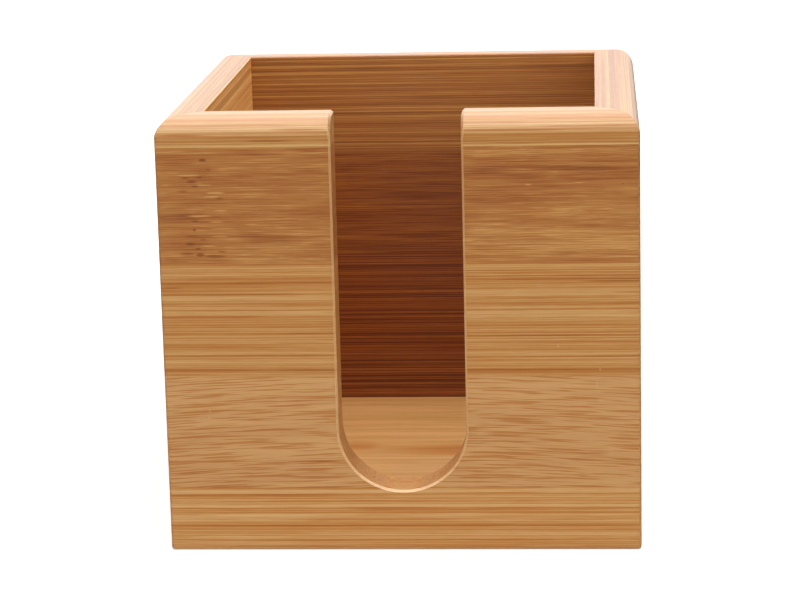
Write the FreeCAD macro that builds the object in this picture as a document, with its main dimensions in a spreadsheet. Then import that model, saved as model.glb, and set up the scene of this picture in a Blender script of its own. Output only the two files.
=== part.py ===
"""Open-topped box of laminated bamboo with a U-shaped hand slot in its front board.

Four wall boards are mitred at the corners, and a floor board is set in between them. Each board is
glued up edge to edge from flat strips, and every strip is a sub-part of its own. A wall board is
moulded, mitred and slotted whole, and its strips are the slices between the glue seams. The origin
is the middle of the base, with +X to the right, +Y to the back and +Z up.
"""
import FreeCAD, Part
import math
import os

import Sketcher

# Driving dimensions in millimetres
SIZES = {
    "width": 125.0,             # over the outer faces of the left and right boards
    "depth": 125.0,             # over the outer faces of the front and back boards
    "height": 116.5,            # from the base to the top of the walls
    "board": 11.5,              # thickness of the wall boards
    "floor_board": 11.5,        # thickness of the floor board, which is flush with the base
    "top_round": 6.0,           # radius along the outer top edges
    "base_round": 1.5,          # radius along the outer bottom edges
    "corner_ease": 1.0,         # radius down the four outer corners
    "inner_bevel": 0.3,         # bevel on the edges towards the inside of the box
    "slot_bevel": 0.6,          # bevel on the front and top edges of the slot
    "slot_width": 33.6,         # between the sides of the slot, which ends in a half circle
    "slot_base": 16.6,          # lowest point of the slot above the base
    "front_first": 17.4,        # width of the lowest strip of the front board
    "back_first": 26.1,         # the same for the back board
    "left_first": 21.4,         # the same for the left board
    "right_first": 10.4,        # the same for the right board
    "front_last": 8.1,          # width of the topmost strip of the front board
    "back_last": 29.5,          # the same for the back board
    "left_last": 4.0,           # the same for the left board
    "right_last": 15.0,         # the same for the right board
    "floor_first": 14.0,        # width of the floor strip next to the front board
    "floor_last": 16.5,         # width of the floor strip next to the back board
}

# How far a cutting outline runs past the faces that it cuts
OVERRUN = 2.0

doc = FreeCAD.newDocument("tissue_box")
sheet = doc.addObject("Spreadsheet::Sheet", "Sizes")
for row, (alias, value) in enumerate(SIZES.items(), start=1):
    sheet.set("A%d" % row, alias)
    sheet.set("B%d" % row, repr(value))
    sheet.setAlias("B%d" % row, alias)
doc.recompute()

strips = []


def size(alias):
    """The value of one driving dimension."""
    return float(getattr(sheet, alias))


def near(value, target):
    """True where two lengths are the same."""
    return abs(value - target) < 1e-4


def origin_plane(body, role):
    """One of a body's own origin planes."""
    return [feature for feature in body.Origin.OriginFeatures if feature.Role == role][0]


def new_sketch(body, role, name):
    """An empty sketch on one of a body's origin planes."""
    sketch = body.newObject("Sketcher::SketchObject", name)
    sketch.AttachmentSupport = [(origin_plane(body, role), "")]
    sketch.MapMode = "FlatFace"
    return sketch


def line(sketch, start, end):
    """Add a straight edge to a sketch."""
    return sketch.addGeometry(Part.LineSegment(FreeCAD.Vector(*start, 0), FreeCAD.Vector(*end, 0)))


def arc(sketch, centre, radius, start_degrees, end_degrees):
    """Add an arc to a sketch, anticlockwise from its start to its end."""
    circle = Part.Circle(FreeCAD.Vector(*centre, 0), FreeCAD.Vector(0, 0, 1), radius)
    start, end = math.radians(start_degrees), math.radians(end_degrees)
    return sketch.addGeometry(Part.ArcOfCircle(circle, start, end))


def tie(sketch, kind, *geometry):
    """Add a geometric constraint to a sketch."""
    sketch.addConstraint(Sketcher.Constraint(kind, *geometry))


def measure(sketch, name, expression, kind, *geometry_and_value):
    """Add a named dimension to a sketch and set it by an expression of the sheet."""
    number = sketch.addConstraint(Sketcher.Constraint(kind, *geometry_and_value))
    sketch.renameConstraint(number, name)
    sketch.setExpression("Constraints." + name, expression)


def moulding(body, side, long_name):
    """A straight length of wall board with its two outer edges rounded.

    In the sketch X runs from the outer face to the inner face, and Y is the height.
    """
    thick, high = size("board"), size("height")
    top, base = size("top_round"), size("base_round")
    section = new_sketch(body, "YZ_Plane", side + "_section")
    outer = line(section, (0, high - top), (0, base))
    base_arc = arc(section, (base, base), base, 180, 270)
    under = line(section, (base, 0), (thick, 0))
    inner = line(section, (thick, 0), (thick, high))
    upper = line(section, (thick, high), (top, high))
    top_arc = arc(section, (top, high - top), top, 90, 180)
    tie(section, "Tangent", outer, 2, base_arc, 1)
    tie(section, "Tangent", base_arc, 2, under, 1)
    tie(section, "Coincident", under, 2, inner, 1)
    tie(section, "Coincident", inner, 2, upper, 1)
    tie(section, "Tangent", upper, 2, top_arc, 1)
    tie(section, "Tangent", top_arc, 2, outer, 1)
    tie(section, "Vertical", outer)
    tie(section, "Horizontal", under)
    tie(section, "Vertical", inner)
    tie(section, "Horizontal", upper)
    tie(section, "PointOnObject", outer, 2, -2)
    tie(section, "PointOnObject", under, 1, -1)
    measure(section, "Thickness", "Sizes.board", "DistanceX", -1, 1, under, 2, thick)
    measure(section, "Height", "Sizes.height", "DistanceY", inner, 1, inner, 2, high)
    measure(section, "TopRound", "Sizes.top_round", "Radius", top_arc, top)
    measure(section, "BaseRound", "Sizes.base_round", "Radius", base_arc, base)

    pad = body.newObject("PartDesign::Pad", side + "_moulding")
    pad.Profile = section
    pad.SideType = "Symmetric"
    pad.setExpression("Length", "Sizes." + long_name)
    doc.recompute()


def mitres(body, side, long_name):
    """Cut one end of the board to 45 degrees with an eased tip, and mirror the cut."""
    half, thick, radius = size(long_name) / 2, size("board"), size("corner_ease")
    off = radius * (1 - math.sqrt(0.5))
    far = thick + OVERRUN
    plan = new_sketch(body, "XY_Plane", side + "_mitre")
    outside = line(plan, (half - radius, -OVERRUN), (half - radius, 0))
    tip = arc(plan, (half - radius, radius), radius, 270, 315)
    mitre = line(plan, (half - off, off), (half - far, far))
    back = line(plan, (half - far, far), (half + OVERRUN, far))
    end = line(plan, (half + OVERRUN, far), (half + OVERRUN, -OVERRUN))
    front = line(plan, (half + OVERRUN, -OVERRUN), (half - radius, -OVERRUN))
    loop = (outside, tip, mitre, back, end, front)
    for first, second in zip(loop, loop[1:] + loop[:1]):
        tie(plan, "Coincident", first, 2, second, 1)
    tie(plan, "Vertical", outside)
    tie(plan, "Vertical", end)
    tie(plan, "Horizontal", back)
    tie(plan, "Horizontal", front)
    tie(plan, "PointOnObject", outside, 2, -1)
    tie(plan, "PointOnObject", tip, 3, outside)
    tie(plan, "PointOnObject", tip, 3, mitre)
    tie(plan, "Angle", mitre, math.radians(135))
    measure(plan, "Tip", "Sizes.corner_ease", "Radius", tip, radius)
    measure(plan, "TipCentre", "Sizes.%s / 2 - Sizes.corner_ease" % long_name,
            "DistanceX", -1, 1, tip, 3, half - radius)
    measure(plan, "Depth", "Sizes.board + %g" % OVERRUN, "DistanceY", -1, 1, back, 1, far)
    measure(plan, "Front", "%g" % OVERRUN, "DistanceY", front, 2, -1, 1, OVERRUN)
    measure(plan, "End", "Sizes.%s / 2 + %g" % (long_name, OVERRUN),
            "DistanceX", -1, 1, end, 1, half + OVERRUN)

    cut = body.newObject("PartDesign::Pocket", side + "_mitre_cut")
    cut.Profile = plan
    cut.SideType = "Symmetric"
    cut.setExpression("Length", "3 * Sizes.height")
    doc.recompute()
    both = body.newObject("PartDesign::Mirrored", side + "_mitres")
    both.Originals = [cut]
    both.MirrorPlane = (origin_plane(body, "YZ_Plane"), [""])
    body.Tip = both
    doc.recompute()


def hand_slot(body):
    """Cut the U-shaped slot down from the top of the front board."""
    radius, low, high = size("slot_width") / 2, size("slot_base"), size("height") + OVERRUN
    outline = new_sketch(body, "XZ_Plane", "slot_outline")
    left = line(outline, (-radius, high), (-radius, low + radius))
    bend = arc(outline, (0, low + radius), radius, 180, 360)
    right = line(outline, (radius, low + radius), (radius, high))
    mouth = line(outline, (radius, high), (-radius, high))
    tie(outline, "Tangent", left, 2, bend, 1)
    tie(outline, "Tangent", bend, 2, right, 1)
    tie(outline, "Coincident", right, 2, mouth, 1)
    tie(outline, "Coincident", mouth, 2, left, 1)
    tie(outline, "Vertical", left)
    tie(outline, "Horizontal", mouth)
    tie(outline, "PointOnObject", bend, 3, -2)
    measure(outline, "HalfWidth", "Sizes.slot_width / 2", "Radius", bend, radius)
    measure(outline, "Centre", "Sizes.slot_base + Sizes.slot_width / 2",
            "DistanceY", -1, 1, bend, 3, low + radius)
    measure(outline, "Mouth", "Sizes.height + %g" % OVERRUN, "DistanceY", -1, 1, mouth, 1, high)

    cut = body.newObject("PartDesign::Pocket", "slot_cut")
    cut.Profile = outline
    cut.SideType = "Symmetric"
    cut.setExpression("Length", "3 * Sizes.board")
    doc.recompute()


def made_by_slot(face):
    """True for the two sides of the slot and its round lower end."""
    radius = size("slot_width") / 2
    centre_z = size("slot_base") + radius
    for vertex in face.Vertexes:
        point = vertex.Point
        on_side = near(abs(point.x), radius) and point.z > centre_z - 1e-4
        on_bend = near(math.hypot(point.x, point.z - centre_z), radius)
        if not (on_side or on_bend):
            return False
    return True


def slot_edges(shape):
    """Names of the edges round the slot, apart from those on the inner face of the board."""
    slot_faces = [face for face in shape.Faces if made_by_slot(face)]
    names = []
    for index, edge in enumerate(shape.Edges, start=1):
        touching = [face for face in slot_faces if any(edge.isSame(other) for other in face.Edges)]
        inside = all(near(vertex.Point.y, size("board")) for vertex in edge.Vertexes)
        if len(touching) == 1 and not inside:
            names.append("Edge%d" % index)
    return names


def inner_edges(shape, long_name):
    """Names of the edges of the inner face, apart from its base and its two mitred ends."""
    mitre_x = size(long_name) / 2 - size("board")
    names = []
    for index, edge in enumerate(shape.Edges, start=1):
        middle = edge.valueAt((edge.FirstParameter + edge.LastParameter) / 2)
        points = [vertex.Point for vertex in edge.Vertexes] + [middle]
        on_face = all(near(point.y, size("board")) for point in points)
        if on_face and not near(middle.z, 0) and not near(abs(middle.x), mitre_x):
            names.append("Edge%d" % index)
    return names


def bevel(body, name, pick_edges, size_name, *arguments):
    """Bevel some edges of a body's last feature."""
    base = body.Tip
    feature = body.newObject("PartDesign::Chamfer", name)
    feature.Base = (base, pick_edges(base.Shape, *arguments))
    feature.setExpression("Size", "Sizes." + size_name)
    doc.recompute()


def wall_board(side, long_name, quarter_turns, coordinate, out):
    """A wall board, drawn with its outer face on the XZ plane and turned to its side of the box."""
    body = doc.addObject("PartDesign::Body", side + "_board")
    moulding(body, side, long_name)
    mitres(body, side, long_name)
    if side == "front":
        hand_slot(body)
        bevel(body, "slot_bevelled", slot_edges, "slot_bevel")
    bevel(body, side + "_inside_bevelled", inner_edges, "inner_bevel", long_name)
    body.Placement.Rotation = FreeCAD.Rotation(FreeCAD.Vector(0, 0, 1), 90 * quarter_turns)
    body.setExpression("Placement.Base." + coordinate, out)
    doc.recompute()
    return body


def slab(name, low, thick, left, long):
    """A level slab across the box: what lies between two heights, and between two planes in X."""
    box = doc.addObject("Part::Box", name + "_slab")
    box.setExpression("Placement.Base.x", left)
    box.setExpression("Placement.Base.y", "-Sizes.depth / 2 - %g" % OVERRUN)
    box.setExpression("Placement.Base.z", low)
    box.setExpression("Length", long)
    box.setExpression("Width", "Sizes.depth + %g" % (2 * OVERRUN))
    box.setExpression("Height", thick)
    return box


def wall_strip(board, name, low, thick, left, long):
    """One strip of a wall board: the slice of the board that lies in a slab."""
    piece = doc.addObject("Part::Common", name)
    piece.Label = name
    piece.Base = board
    piece.Tool = slab(name, low, thick, left, long)
    strips.append(piece)
    return piece


def mirrored_strip(twin, name):
    """The strip across the slot from its twin."""
    piece = doc.addObject("Part::Mirroring", name)
    piece.Label = name
    piece.Source = twin
    piece.Normal = FreeCAD.Vector(1, 0, 0)
    strips.append(piece)


def wall_strips(board, side, count):
    """Cut a board into its lowest strip, a number of equal ones and its topmost strip.

    The slot parts every strip of the front board but the lowest.
    """
    first, last = "Sizes.%s_first" % side, "Sizes.%s_last" % side
    middle = "(Sizes.height - %s - %s) / %d" % (first, last, count)
    left_edge = "-Sizes.width / 2 - %g" % OVERRUN
    across = "Sizes.width + %g" % (2 * OVERRUN)
    half_across = "Sizes.width / 2 + %g" % OVERRUN
    for number in range(count + 2):
        name = "%s_strip_%d" % (side, number + 1)
        if number == 0:
            low, thick = "-%g" % OVERRUN, "%s + %g" % (first, OVERRUN)
        else:
            low, thick = "%s + %d * %s" % (first, number - 1, middle), middle
        if number == count + 1:
            thick = "%s + %g" % (last, OVERRUN)
        if side == "front" and number > 0:
            twin = wall_strip(board, name + "_left", low, thick, left_edge, half_across)
            mirrored_strip(twin, name + "_right")
        else:
            wall_strip(board, name, low, thick, left_edge, across)


def floor_strips(count):
    """The strips of the floor board, with a number of equal ones between the first and the last."""
    middle = "(Sizes.depth - 2 * Sizes.board - Sizes.floor_first - Sizes.floor_last) / %d" % count
    for number in range(count + 2):
        name = "floor_strip_%d" % (number + 1)
        piece = doc.addObject("Part::Box", name)
        piece.Label = name
        before, across = "Sizes.floor_first + %d * %s" % (number - 1, middle), middle
        if number == 0:
            before, across = "0", "Sizes.floor_first"
        if number == count + 1:
            across = "Sizes.floor_last"
        piece.setExpression("Length", "Sizes.width - 2 * Sizes.board")
        piece.setExpression("Width", across)
        piece.setExpression("Height", "Sizes.floor_board")
        piece.setExpression("Placement.Base.x", "Sizes.board - Sizes.width / 2")
        piece.setExpression("Placement.Base.y", "Sizes.board - Sizes.depth / 2 + " + before)
        strips.append(piece)


front = wall_board("front", "width", 0, "y", "-Sizes.depth / 2")
right = wall_board("right", "depth", 1, "x", "Sizes.width / 2")
back = wall_board("back", "width", 2, "y", "Sizes.depth / 2")
left = wall_board("left", "depth", 3, "x", "-Sizes.width / 2")
wall_strips(front, "front", 3)
wall_strips(back, "back", 2)
wall_strips(left, "left", 3)
wall_strips(right, "right", 3)
floor_strips(3)
doc.recompute()

# Nothing is written unless every feature and every strip came out well
for feature in doc.Objects:
    if "Invalid" in feature.State or "Error" in feature.State:
        raise RuntimeError("%s failed: %s" % (feature.Name, feature.State))
for piece in strips:
    if piece.Shape.isNull() or not piece.Shape.isValid() or len(piece.Shape.Solids) != 1:
        raise RuntimeError("%s is not one valid solid" % piece.Label)

os.makedirs("parts", exist_ok=True)
for piece in strips:
    piece.Shape.exportStep("parts/%s.step" % piece.Label)
print("%d strips" % len(strips))
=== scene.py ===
import math

import bmesh
import bpy
from mathutils import Matrix, Vector


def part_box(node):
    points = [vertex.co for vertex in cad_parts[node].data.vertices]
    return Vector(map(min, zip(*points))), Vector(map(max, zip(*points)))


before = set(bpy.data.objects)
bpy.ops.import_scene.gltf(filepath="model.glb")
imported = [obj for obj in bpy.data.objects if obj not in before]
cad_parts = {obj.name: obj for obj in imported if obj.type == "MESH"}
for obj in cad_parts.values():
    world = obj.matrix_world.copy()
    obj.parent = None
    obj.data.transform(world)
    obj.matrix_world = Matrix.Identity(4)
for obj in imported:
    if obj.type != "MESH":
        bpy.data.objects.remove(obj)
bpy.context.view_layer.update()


# Front board, of five strips glued edge to edge, mitred at its ends to the side boards. The slot was
# cut after the glue had set. Most strips show straight lines, but the second one arches, and the
# fourth and darkest one was cut through a culm node at its left end.
PER_METRE = 1000.0
FRONT_FACE = PER_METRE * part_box("front_strip_1")[0].y
SLOT_HALF = PER_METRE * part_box("front_strip_3_right")[0].x
# The slot's bevel is 0.6 mm deep. BEVEL takes in a little more, and SKIN leaves the face out.
BEVEL, SKIN = 0.7, 0.02
ALONG_X = (0.0, 0.0, 0.0)


def linear(hex_colour):
    """An sRGB hex colour as the linear RGBA that a socket takes."""
    shares = [int(hex_colour[i:i + 2], 16) / 255 for i in (1, 3, 5)]
    return [s / 12.92 if s <= 0.04045 else ((s + 0.055) / 1.055) ** 2.4 for s in shares] + [1.0]


def node(tree, kind, sockets, **settings):
    """Add a node, make its settings, and give each named socket its value or its link."""
    made = tree.nodes.new(kind)
    for name, value in settings.items():
        setattr(made, name, value)
    for name, value in sockets.items():
        if isinstance(value, bpy.types.NodeSocket):
            tree.links.new(value, made.inputs[name])
        else:
            made.inputs[name].default_value = value
    return made


# Laminated bamboo, sanded and sprayed with a clear satin lacquer. Its strips were split and planed
# out of the wall of the culm, so the fibre bundles run the whole length of a strip as fine dark
# lines in a paler ground. The lacquer gives it an even, soft sheen.
TONE_DEPTHS = (0.12, 0.3, 0.6, 1.0)
GROUND_DEPTH = 0.1
SEED_STEP = (173.0, 37.0, 0.0)
# How long a waver and a streak's fade are, in millimetres along, through and across the grain.
WAVES = (28.0, 20.0, 7.0)
FADES = (25.0, 2.5, 1.2)
# The floor reaches to the inner faces of the walls, and most of their 0.3 mm bevel goes with them.
INSIDE_REACH = PER_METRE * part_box("floor_strip_1")[1].x + 0.25
EASED_BASE = 5.0
# The slot's bevel is painted paler, partly as sanded wood and partly as a painted highlight.
SANDED_EDGE_AND_HIGHLIGHT, EDGE_HIGHLIGHT_SHARE = "#E3BB84", 0.4


def bamboo(name, turn, seed, tones, layers, sway=0.07, bow=0.0, streaks=(), face=0.0, bevel=0.0,
           inside=()):
    """Lacquered bamboo for one strip, laid out in millimetres along, through and across the grain.

    The four tones go from the palest to the darkest. A layer is a noise with its length along the
    grain, its width across, the two levels between which it comes in, and its strength. The grain
    wavers by sway and arches by bow. A streak is one mark just under the face: its place along the
    grain, its height, half its length, half its width and its strength. The bevel of the slot lies
    within the bevel distance of the middle, and is painted paler: partly sanded wood and partly a
    painted highlight. Inside tones are those of the face towards the inside of the box, where they
    differ: painted shade or painted light that stands in for the light inside the box.
    """
    material = bpy.data.materials.new(name)
    material.use_nodes = True
    tree = material.node_tree
    tree.nodes.clear()
    place = node(tree, "ShaderNodeTexCoord", {})
    grain = node(tree, "ShaderNodeMapping", {
        "Vector": place.outputs["Object"], "Rotation": turn, "Scale": (PER_METRE,) * 3}).outputs[0]
    along, through, across = node(tree, "ShaderNodeSeparateXYZ", {"Vector": grain}).outputs

    # The grain wavers slowly, by up to twice the sway each way. The seed takes each strip to a
    # place of its own in the noise.
    start = [seed * step for step in SEED_STEP]
    drift = node(tree, "ShaderNodeVectorMath", {
        0: grain, 1: [1 / size for size in WAVES], 2: start}, operation="MULTIPLY_ADD").outputs[0]
    drift = node(tree, "ShaderNodeTexNoise", {"Vector": drift, "Scale": 1.0, "Detail": 1.0})
    drift = node(tree, "ShaderNodeVectorMath", {
        0: drift.outputs["Color"], 1: (0.0, 4 * sway, 4 * sway), 2: (0.0, -2 * sway, -2 * sway)},
        operation="MULTIPLY_ADD").outputs[0]
    wavy = node(tree, "ShaderNodeVectorMath", {0: grain, 1: drift}, operation="ADD").outputs[0]
    arch = node(tree, "ShaderNodeMath", {0: along, 1: along}, operation="MULTIPLY").outputs[0]
    arch = node(tree, "ShaderNodeMath", {0: arch, 1: bow}, operation="MULTIPLY").outputs[0]
    arch = node(tree, "ShaderNodeCombineXYZ", {"Z": arch}).outputs[0]
    bowed = node(tree, "ShaderNodeVectorMath", {0: wavy, 1: arch}, operation="ADD").outputs[0]
    bowed = node(tree, "ShaderNodeVectorMath", {0: bowed, 1: start}, operation="ADD").outputs[0]

    # Bands, fibre bundles and short fibres lie over each other. They deepen the colour, or lighten
    # it where their strength is below zero.
    depth = GROUND_DEPTH
    for long, wide, low, high, strength in layers:
        scaled = node(tree, "ShaderNodeVectorMath", {
            0: bowed, 1: (1 / long, 1 / (1.5 * wide), 1 / wide)}, operation="MULTIPLY").outputs[0]
        noise = node(tree, "ShaderNodeTexNoise", {
            "Vector": scaled, "Scale": 1.0, "Detail": 2.0}).outputs[0]
        share = node(tree, "ShaderNodeMapRange", {
            "Value": noise, "From Min": low, "From Max": high, "To Max": strength}).outputs[0]
        depth = node(tree, "ShaderNodeMath", {0: share, 1: depth}).outputs[0]

    # The strip's own streaks have soft edges, fade and return on their way, and go 2.5 mm deep.
    behind = node(tree, "ShaderNodeMath", {0: through, 1: face}, operation="SUBTRACT").outputs[0]
    behind = node(tree, "ShaderNodeMath", {0: behind}, operation="ABSOLUTE").outputs[0]
    if streaks:
        total = 0.0
        for middle, height, half_long, half_wide, strength in streaks:
            off = node(tree, "ShaderNodeVectorMath", {
                0: wavy, 1: (1 / half_long, 0.0, 1 / half_wide),
                2: (-middle / half_long, 0.0, -height / half_wide)}, operation="MULTIPLY_ADD")
            off = node(tree, "ShaderNodeVectorMath", {0: off.outputs[0]}, operation="LENGTH")
            mark = node(tree, "ShaderNodeMapRange", {
                "Value": off.outputs["Value"], "From Min": 1.0, "From Max": 0.3,
                "To Max": strength}, interpolation_type="SMOOTHSTEP").outputs[0]
            total = node(tree, "ShaderNodeMath", {0: mark, 1: total}).outputs[0]
        faint = node(tree, "ShaderNodeVectorMath", {
            0: bowed, 1: [1 / size for size in FADES]}, operation="MULTIPLY").outputs[0]
        faint = node(tree, "ShaderNodeTexNoise", {
            "Vector": faint, "Scale": 1.0, "Detail": 1.0}).outputs[0]
        faint = node(tree, "ShaderNodeMapRange", {
            "Value": faint, "From Min": 0.3, "From Max": 0.55, "To Min": 0.35}).outputs[0]
        under = node(tree, "ShaderNodeMapRange", {
            "Value": behind, "From Min": 2.5, "From Max": 0.5}).outputs[0]
        total = node(tree, "ShaderNodeMath", {0: total, 1: faint}, operation="MULTIPLY").outputs[0]
        depth = node(tree, "ShaderNodeMath", {
            0: total, 1: under, 2: depth}, operation="MULTIPLY_ADD").outputs[0]

    # Where the fibres are cut across, their ends are a little darker.
    facing = node(tree, "ShaderNodeVectorRotate", {
        "Vector": place.outputs["Normal"], "Rotation": turn}, rotation_type="EULER_XYZ").outputs[0]
    facing = node(tree, "ShaderNodeSeparateXYZ", {"Vector": facing}).outputs["X"]
    facing = node(tree, "ShaderNodeMath", {0: facing}, operation="ABSOLUTE").outputs[0]
    end_grain = node(tree, "ShaderNodeMapRange", {
        "Value": facing, "From Min": 0.4, "From Max": 0.9, "To Max": 0.1}).outputs[0]
    depth = node(tree, "ShaderNodeMath", {0: end_grain, 1: depth}).outputs[0]

    # The depth picks the tone. The inner face, with most of the narrow bevel above it, has the
    # inside tones: painted shade on the back board and painted light on the side boards.
    faces = []
    for shades in (tones, inside) if inside else (tones,):
        ramp = node(tree, "ShaderNodeValToRGB", {"Fac": depth})
        stops = ramp.color_ramp.elements
        stops.remove(stops[1])
        stops[0].position, stops[0].color = TONE_DEPTHS[0], linear(shades[0])
        for position, shade in zip(TONE_DEPTHS[1:], shades[1:]):
            stops.new(position).color = linear(shade)
        faces.append(ramp.outputs[0])
    colour = faces[0]
    if inside:
        inner = node(tree, "ShaderNodeMath", {0: through}, operation="ABSOLUTE").outputs[0]
        inner = node(tree, "ShaderNodeMath", {
            0: inner, 1: INSIDE_REACH}, operation="LESS_THAN").outputs[0]
        colour = node(tree, "ShaderNodeMix", {
            0: inner, 6: faces[0], 7: faces[1]}, data_type="RGBA").outputs[2]

    # The bevel along the slot is painted paler: partly sanded, paler wood and partly a painted
    # highlight along the edge. The face in front of it and the eased edge at the base keep the colour
    # of the strip.
    if bevel:
        beside = node(tree, "ShaderNodeMath", {0: along}, operation="ABSOLUTE").outputs[0]
        beside = node(tree, "ShaderNodeMath", {
            0: beside, 1: bevel}, operation="LESS_THAN").outputs[0]
        above = node(tree, "ShaderNodeMath", {
            0: across, 1: EASED_BASE}, operation="GREATER_THAN").outputs[0]
        cut = node(tree, "ShaderNodeMath", {
            0: behind, 1: BEVEL / 2, 2: BEVEL / 2 - SKIN}, operation="COMPARE").outputs[0]
        cut = node(tree, "ShaderNodeMath", {0: cut, 1: beside}, operation="MULTIPLY").outputs[0]
        cut = node(tree, "ShaderNodeMath", {0: cut, 1: above}, operation="MULTIPLY").outputs[0]
        edge_and_highlight = node(tree, "ShaderNodeMath", {
            0: cut, 1: EDGE_HIGHLIGHT_SHARE}, operation="MULTIPLY").outputs[0]
        colour = node(tree, "ShaderNodeMix", {
            0: edge_and_highlight, 6: colour, 7: linear(SANDED_EDGE_AND_HIGHLIGHT)}, data_type="RGBA").outputs[2]

    pores = node(tree, "ShaderNodeBump", {
        "Height": depth, "Strength": 0.05, "Distance": 0.0002}, invert=True).outputs[0]
    shader = node(tree, "ShaderNodeBsdfPrincipled", {
        "Base Color": colour, "Roughness": 0.42, "Specular IOR Level": 0.3, "Normal": pores})
    node(tree, "ShaderNodeOutputMaterial", {"Surface": shader.outputs[0]})
    return material


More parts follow.
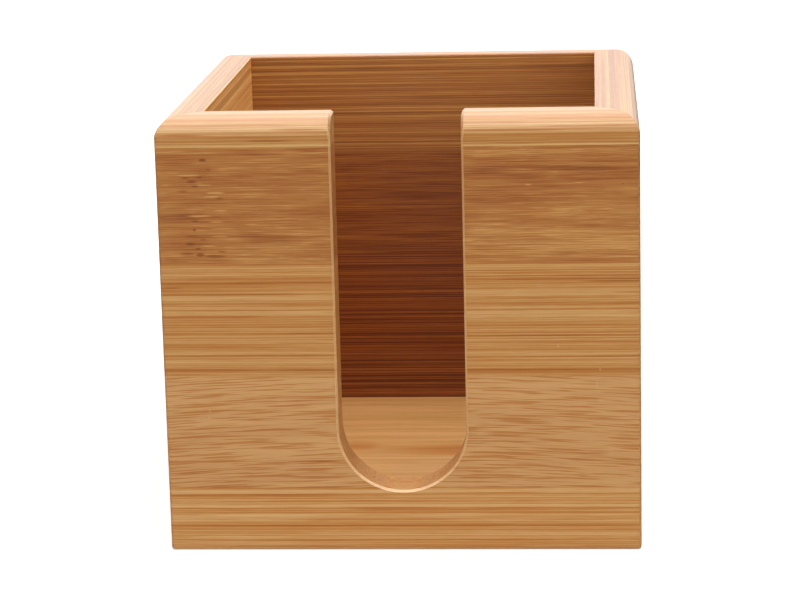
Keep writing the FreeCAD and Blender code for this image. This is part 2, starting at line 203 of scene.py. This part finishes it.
# Plain strips have bands about 1.5 mm wide and fibre bundles of 0.22 mm. Single fibres are about
# 0.02 mm wide, which is too fine to show, so here too they are drawn 0.22 mm wide.
PLAIN = (
    (300.0, 1.5, 0.4, 0.62, 0.22), (250.0, 0.22, 0.44, 0.58, 0.3), (6.0, 0.22, 0.35, 0.7, 0.12))
FRONT = {
    1: dict(tones=("#C89F69", "#BE9158", "#AF7231", "#985816"), layers=PLAIN, streaks=(
        (0, 17.2, 120, 0.3, 0.4), (40, 16.0, 50, 0.3, 0.29), (-38, 15.2, 45, 0.7, 0.4),
        (0, 13.7, 120, 0.3, 0.29), (0, 11.6, 120, 0.7, 0.45), (0, 9.9, 120, 0.7, -0.2),
        (0, 8.6, 120, 0.45, 0.35), (0, 7.0, 120, 0.35, 0.55), (0, 4.9, 120, 0.8, -0.15),
        (0, 2.9, 120, 0.3, 0.45), (0, 1.3, 120, 0.3, 0.25))),
    2: dict(tones=("#BE9059", "#B58550", "#A96D33", "#92551E"), sway=0.12, bow=0.0005, layers=(
        (60.0, 3.0, 0.35, 0.65, 0.15), (16.0, 0.38, 0.5, 0.6, 0.42), (6.0, 0.22, 0.35, 0.7, 0.12)),
        streaks=((-23, 24.7, 10, 0.3, 0.52), (-35, 46.6, 28, 0.6, -0.22), (0, 47.6, 120, 0.25, 0.22),
                 (51.1, 45.0, 0.3, 1.4, -0.3), (52.0, 41.0, 1.2, 0.3, -0.3), (0, 17.6, 120, 0.3, 0.22),
                 (-50.7, 38.6, 0.3, 0.9, -0.3), (-50.9, 36.6, 0.3, 0.6, -0.3))),
    3: dict(tones=("#C0965C", "#B6864C", "#A76A2B", "#905214"), layers=PLAIN, streaks=(
        (-40, 77.8, 60, 0.3, 0.45), (-40, 75.8, 60, 0.3, 0.2), (-40, 74.3, 60, 0.9, 0.2),
        (-40, 72.9, 60, 0.5, 0.51), (-61, 71.8, 6, 0.35, 0.51), (-40, 71.9, 60, 0.3, 0.2),
        (-40, 69.9, 60, 0.35, 0.55), (-40, 68.6, 60, 0.7, -0.15), (-40, 67.1, 60, 1.0, 0.2),
        (-40, 65.7, 60, 0.35, 0.35), (-40, 64.0, 60, 0.4, 0.51), (-40, 61.2, 60, 0.3, 0.25),
        (-40, 59.4, 60, 0.4, 0.4), (-40, 56.2, 60, 1.2, 0.25), (-40, 53.5, 60, 0.35, 0.6),
        (-40, 51.9, 60, 0.7, -0.15), (-40, 49.6, 60, 0.5, 0.4), (-58, 48.4, 12, 0.3, 0.4),
        (40, 77.8, 60, 0.35, 0.45), (40, 75.8, 60, 0.25, 0.45), (40, 75.1, 60, 0.25, 0.4),
        (40, 74.4, 60, 0.25, 0.45), (40, 73.4, 60, 0.3, 0.51), (58, 72.8, 14, 0.3, 0.51),
        (40, 71.2, 60, 0.3, 0.35), (62, 69.8, 9, 0.3, 0.4), (45, 68.6, 40, 0.3, 0.35),
        (40, 66.8, 60, 0.8, 0.4), (40, 65.4, 60, 0.35, 0.35), (40, 63.6, 60, 0.8, -0.15),
        (40, 61.4, 60, 0.4, 0.2), (40, 58.5, 60, 0.35, 0.51), (40, 56.5, 60, 0.8, 0.25),
        (40, 52.9, 60, 0.35, 0.6), (40, 51.0, 60, 0.7, -0.15), (40, 49.3, 60, 0.45, 0.4),
        (51.9, 49.3, 0.5, 0.4, -0.5), (41.1, 55.7, 0.3, 0.8, -0.29))),
    4: dict(tones=("#B78447", "#A46C32", "#94571F", "#763D0F"), layers=(
        (20.0, 2.0, 0.4, 0.62, 0.13), (36.0, 0.34, 0.42, 0.6, 0.25), (9.0, 0.2, 0.42, 0.6, 0.25),
        (7.0, 0.22, 0.62, 0.7, -0.25)),
        streaks=(
            (-40, 108.2, 60, 0.3, 0.15), (-42, 106.9, 20, 0.6, 0.26), (-20, 105.7, 10, 1.4, 0.26),
            (-22, 102.6, 7, 0.8, 0.22), (-34, 85.2, 10, 2.2, 0.26), (-40, 83.8, 8, 1.2, 0.19),
            (-54, 103.0, 9, 3.5, 0.19), (-54, 92.0, 8, 3.0, 0.15), (-55, 84.0, 8, 3.5, 0.26),
            (45, 102.3, 15, 1.0, 0.26), (35, 100.9, 11, 0.6, 0.26), (23, 101.2, 10, 2.0, 0.22),
            (24, 95.5, 12, 3.0, 0.15), (-50.0, 105.5, 1.3, 0.5, 0.85), (-48.6, 103.0, 1.0, 0.5, 0.3),
            (-53.1, 99.9, 1.8, 0.5, 0.75), (-52.8, 87.2, 0.5, 0.5, 0.9), (-54.0, 83.5, 1.5, 0.5, 0.6),
            (-51.2, 91.8, 2.0, 0.5, 0.3), (-51.5, 80.6, 1.5, 0.7, 0.55), (-47.6, 80.2, 4.0, 0.5, 0.55),
            (-46.0, 95.4, 1.4, 0.4, 0.38), (-53.8, 101.6, 4.0, 0.35, -0.6),
            (-47.0, 96.9, 3.2, 0.35, -0.6), (-48.0, 95.9, 2.5, 0.3, -0.55),
            (-52.4, 92.6, 4.0, 0.3, -0.6), (-51.5, 90.8, 4.5, 0.35, -0.65),
            (-47.0, 89.3, 3.0, 0.3, -0.5), (-45.5, 87.4, 4.5, 0.35, -0.6),
            (33.8, 98.3, 1.4, 0.25, -0.45), (58.0, 98.3, 0.3, 0.25, 0.5),
            (-52.2, 98.6, 1.2, 0.3, 0.6), (-54.6, 100.9, 1.4, 0.3, 0.5), (-51.0, 101.0, 1.0, 0.3, 0.4),
            (-55.5, 97.4, 2.0, 0.4, 0.3), (-52.6, 89.5, 1.2, 0.35, 0.4), (-53.6, 85.6, 2.4, 0.4, 0.4),
            (-52.0, 82.2, 1.0, 0.35, 0.6), (-50.6, 84.6, 1.2, 0.3, 0.4), (-45.8, 81.4, 1.6, 0.3, 0.45),
            (-55.0, 80.9, 2.5, 0.5, 0.35), (-50.0, 99.0, 2.6, 0.3, -0.4), (-45.8, 92.2, 2.4, 0.3, -0.45),
            (-49.4, 82.9, 2.6, 0.3, -0.4), (-46.4, 85.4, 3.2, 0.3, -0.45), (-38.0, 88.6, 2.2, 0.25, -0.35),
            (38, 101.5, 45, 6.0, 0.2), (42, 83.0, 50, 6.0, -0.15), (-42, 93.0, 60, 11.0, 0.1))),
    5: dict(tones=("#C19A5E", "#B3874D", "#A66D30", "#93581E"), layers=PLAIN, streaks=(
        (-25, 113.1, 10, 0.35, 0.51), (-22, 112.4, 9, 0.3, 0.4), (-55, 112.0, 9, 0.4, 0.51),
        (-38, 111.3, 30, 0.3, 0.29), (-33, 110.4, 8, 0.4, 0.51), (-40, 109.0, 60, 0.35, -0.35),
        (28, 112.4, 24, 0.35, 0.51), (50, 113.3, 18, 0.35, 0.51), (40, 111.2, 60, 0.3, 0.25),
        (25, 109.7, 22, 0.35, 0.55), (48, 110.0, 20, 0.25, 0.35), (40, 109.1, 60, 0.3, 0.35),
        (40, 108.6, 60, 0.25, -0.4))),
}
for number, look in FRONT.items():
    wood = bamboo("lacquered bamboo, front strip %d" % number, ALONG_X, number,
                  face=FRONT_FACE, bevel=SLOT_HALF + BEVEL, **look)
    for name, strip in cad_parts.items():
        if name.startswith("front_strip_%d" % number):
            strip.data.materials[0] = wood


# Back board, of four strips glued edge to edge, mitred at its ends to the side boards. Its lines
# are fine and straight. The inner face of its three lower strips is painted darker and redder than
# the outside: painted shade for the dim inside of the box.
LINED = (
    (300.0, 1.0, 0.4, 0.6, 0.3), (250.0, 0.26, 0.44, 0.58, 0.55), (6.0, 0.22, 0.35, 0.7, 0.12))
PALE = ("#C39A5C", "#B58849", "#A66C31", "#8C511E")
WARM = ("#BC8D4C", "#AE7E40", "#9E6229", "#864B18")
BROWN = ("#B3833F", "#A06F2F", "#8E581F", "#733E10")
BACK = {
    1: dict(tones=WARM, inside=("#AE6E30", "#9A5A24", "#85461A", "#60300E"), layers=LINED),
    2: dict(tones=BROWN, inside=("#A8641F", "#945218", "#7F4010", "#602C09"), layers=LINED),
    3: dict(tones=PALE, inside=("#A86A24", "#95551A", "#834512", "#662F09"), layers=(
        (90.0, 1.5, 0.35, 0.65, 0.2), (26.0, 0.26, 0.46, 0.6, 0.5), (6.0, 0.22, 0.35, 0.7, 0.15))),
    4: dict(tones=WARM, inside=("#BE8C42", "#AF7334", "#9C6028", "#7E491B"), layers=LINED),
}
for number, look in BACK.items():
    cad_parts["back_strip_%d" % number].data.materials[0] = bamboo(
        "lacquered bamboo, back strip %d" % number, ALONG_X, 10 + number, **look)


# Left and right boards, of five strips each glued edge to edge, with the grain from front to back
# and both ends mitred. Their pale and dark lines are wider than those of the front board.
ALONG_Y = (0.0, 0.0, math.radians(-90))
STRIPED = (
    (300.0, 1.6, 0.42, 0.58, 0.3), (250.0, 0.4, 0.44, 0.6, 0.3), (6.0, 0.22, 0.35, 0.7, 0.12))
# Their inner faces are painted paler than the outside, the left one most: painted light that makes up for
# the dim inside of the box.
SIDES = {
    "left": dict(seeds=20, inside=("#FFDC8C", "#FFC070", "#DC9A4E", "#A8723A"),
                 strips=(WARM, PALE, BROWN, PALE, BROWN)),
    "right": dict(seeds=30, inside=("#D4A05C", "#C49050", "#AC763A", "#8A5828"),
                  strips=(PALE, WARM, PALE, WARM, BROWN)),
}
for side, look in SIDES.items():
    for number, tones in enumerate(look["strips"], start=1):
        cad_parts["%s_strip_%d" % (side, number)].data.materials[0] = bamboo(
            "lacquered bamboo, %s strip %d" % (side, number), ALONG_Y, look["seeds"] + number,
            tones, STRIPED, inside=look["inside"])


# Floor board, of five strips glued edge to edge and set in between the walls, with its grain from
# side to side. The middle strip has pale seams and a brown band in front. The board is turned to
# lie flat, so its top face is at minus its height.
LYING_FLAT = (math.radians(90), 0.0, 0.0)
FLOOR_FACE = -PER_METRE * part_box("floor_strip_1")[1].z
FLOOR_TONES = ("#DFB072", "#CC9A56", "#C4843A", "#A66C2C")
FLOOR_MARKS = {
    2: ((0, -14.6, 120, 0.8, -0.8),),
    3: ((0, 10.2, 120, 0.5, -0.7), (20, -6.5, 34, 7.0, 0.55), (-17, -2.0, 7, 6.0, 0.35)),
    4: ((0, 11.2, 120, 0.5, -0.5),),
}
CALM = ((90.0, 3.0, 0.35, 0.65, 0.14), (40.0, 0.6, 0.45, 0.65, 0.14), (7.0, 0.4, 0.35, 0.7, 0.1))
for number in range(1, 6):
    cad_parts["floor_strip_%d" % number].data.materials[0] = bamboo(
        "lacquered bamboo, floor strip %d" % number, LYING_FLAT, 40 + number, FLOOR_TONES, CALM,
        streaks=FLOOR_MARKS.get(number, ()), face=FLOOR_FACE)


# Sweep, a sheet of matt white paper on which the box stands. To the camera it glows up to pure
# white away from the box, and near the box it keeps the shadow.
SWEEP_HALF = 3.0
sweep_mesh = bpy.data.meshes.new("white sweep")
shape = bmesh.new()
bmesh.ops.create_grid(shape, x_segments=1, y_segments=1, size=SWEEP_HALF)
shape.to_mesh(sweep_mesh)
shape.free()
sweep = bpy.data.objects.new("white sweep", sweep_mesh)
bpy.context.collection.objects.link(sweep)
paper = bpy.data.materials.new("matt white paper")
paper.use_nodes = True
tree = paper.node_tree
tree.nodes.clear()
place = node(tree, "ShaderNodeTexCoord", {}).outputs["Object"]
away = node(tree, "ShaderNodeVectorMath", {0: place}, operation="LENGTH").outputs["Value"]
glow = node(tree, "ShaderNodeMapRange", {
    "Value": away, "From Min": 0.1, "From Max": 0.4, "To Min": 0.45, "To Max": 1.0}).outputs[0]
ray = node(tree, "ShaderNodeLightPath", {})
glow = node(tree, "ShaderNodeMath", {
    0: glow, 1: ray.outputs["Is Camera Ray"]}, operation="MULTIPLY").outputs[0]
lit = node(tree, "ShaderNodeEmission", {"Color": linear("#FFFFFF"), "Strength": glow})
sheet = node(tree, "ShaderNodeBsdfDiffuse", {"Color": linear("#F4F4F4")})
both = node(tree, "ShaderNodeAddShader", {0: lit.outputs[0], 1: sheet.outputs[0]})
node(tree, "ShaderNodeOutputMaterial", {"Surface": both.outputs[0]})
sweep_mesh.materials.append(paper)


# Studio walls. The camera sees them white, and the lacquer mirrors the bright wall behind the box,
# which whitens its flat top edges. They give the wood almost no light of their own.
world = bpy.data.worlds.new("white studio")
bpy.context.scene.world = world
world.use_nodes = True
tree = world.node_tree
tree.nodes.clear()
ray = node(tree, "ShaderNodeLightPath", {})
seen = node(tree, "ShaderNodeMath", {
    0: ray.outputs["Is Camera Ray"], 1: ray.outputs["Is Transmission Ray"]}, operation="MAXIMUM")
direction = node(tree, "ShaderNodeTexCoord", {}).outputs["Generated"]
towards = node(tree, "ShaderNodeSeparateXYZ", {"Vector": direction}).outputs["Y"]
rear_wall = node(tree, "ShaderNodeMapRange", {
    "Value": towards, "From Min": -0.3, "From Max": 0.6, "To Min": 0.06, "To Max": 2.6}).outputs[0]
rear_wall = node(tree, "ShaderNodeMath", {
    0: rear_wall, 1: ray.outputs["Is Glossy Ray"]}, operation="MULTIPLY").outputs[0]
seen = node(tree, "ShaderNodeMath", {
    0: seen.outputs[0], 1: rear_wall}, operation="MAXIMUM").outputs[0]
level = node(tree, "ShaderNodeMapRange", {
    "Value": seen, "To Min": 0.04, "To Max": 1.0}, clamp=False).outputs[0]
sky = node(tree, "ShaderNodeBackground", {"Color": linear("#FFFFFF"), "Strength": level})
node(tree, "ShaderNodeOutputWorld", {"Surface": sky.outputs[0]})


# Softboxes. One large one hangs over the box and two stand off to its front corners, so that the
# inside falls dark. The ceiling panel shows only in the sheen of the lacquer.
SOFTBOXES = {
    "overhead softbox": dict(at=(0.0, -0.12, 0.9), side=1.1, watts=8.7),
    "ceiling panel": dict(at=(0.0, -0.1, 1.0), side=2.0, watts=94.0, colour="#F0F2FF",
                          sheen_only=True),
    "left softbox": dict(at=(-0.85, -1.05, 0.4), side=0.7, watts=5.2),
    "right softbox": dict(at=(0.85, -1.05, 0.65), side=0.7, watts=7.6),
}
AIM = Vector((0.0, 0.0, 0.06))
for name, box in SOFTBOXES.items():
    lamp = bpy.data.lights.new(name, "AREA")
    lamp.size = box["side"]
    lamp.energy = box["watts"]
    lamp.color = linear(box.get("colour", "#FFFFFF"))[:3]
    softbox = bpy.data.objects.new(name, lamp)
    softbox.location = box["at"]
    softbox.rotation_euler = (AIM - Vector(box["at"])).to_track_quat("-Z", "Y").to_euler()
    softbox.visible_diffuse = not box.get("sheen_only", False)
    bpy.context.collection.objects.link(softbox)


# Camera, at the photograph's viewing angle: a little above the box and to the right of its middle.
# Its lens is in millimetres, its place in metres and its angles in radians.
LENS = 121.379
CAMERA_AT = (0.051043, -0.742632, 0.225502)
YAW, PITCH, ROLL = 0.0746, -0.2267, 0.0243
camera = bpy.data.objects.new("camera", bpy.data.cameras.new("camera"))
camera.data.lens = LENS
level_view = Matrix.Rotation(math.pi / 2, 4, "X")
turned = (Matrix.Rotation(YAW, 4, "Z") @ Matrix.Rotation(PITCH, 4, "X")
          @ Matrix.Rotation(ROLL, 4, "Y"))
camera.matrix_world = Matrix.Translation(CAMERA_AT) @ turned @ level_view
bpy.context.collection.objects.link(camera)
bpy.context.scene.camera = camera
bpy.context.scene.view_settings.view_transform = "Standard"
